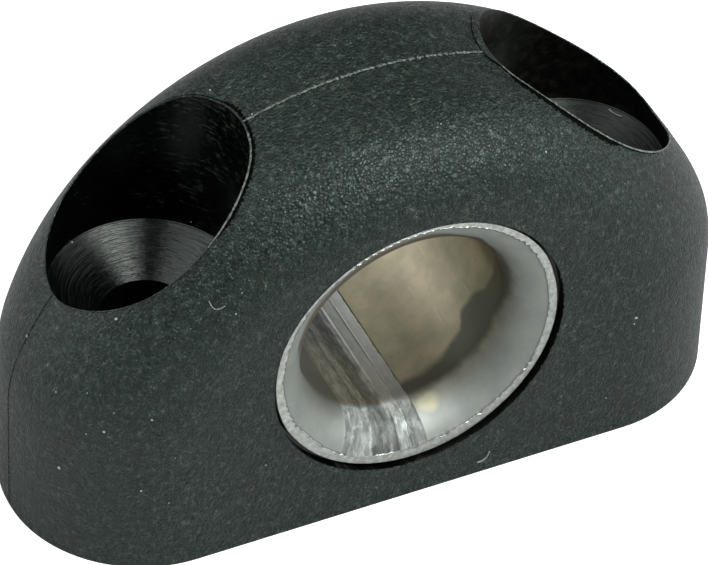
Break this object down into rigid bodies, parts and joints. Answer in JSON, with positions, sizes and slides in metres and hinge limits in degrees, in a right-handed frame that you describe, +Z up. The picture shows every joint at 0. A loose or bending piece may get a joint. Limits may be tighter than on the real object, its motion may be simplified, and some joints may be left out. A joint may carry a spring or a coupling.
{
  "type": "rope fairlead eye",
  "caption": "Arch-shaped black moulded rope fairlead with a flared metal tube through its middle and a recessed screw hole on each side.",
  "frame": {"origin": "middle of the flat base", "axes": "+X along the length through both screw holes, +Z up from the deck, and the rope runs along Y"},
  "size_m": [0.0442, 0.0168, 0.0261],
  "materials": {
    "moulding": "fine leather grain from the mould",
    "tube_steel": "satin, with a bright turned rim"
  },
  "bodies": {
    "root": {"body": "moulding", "tube": "tube_steel"}
  },
  "joints": []
}
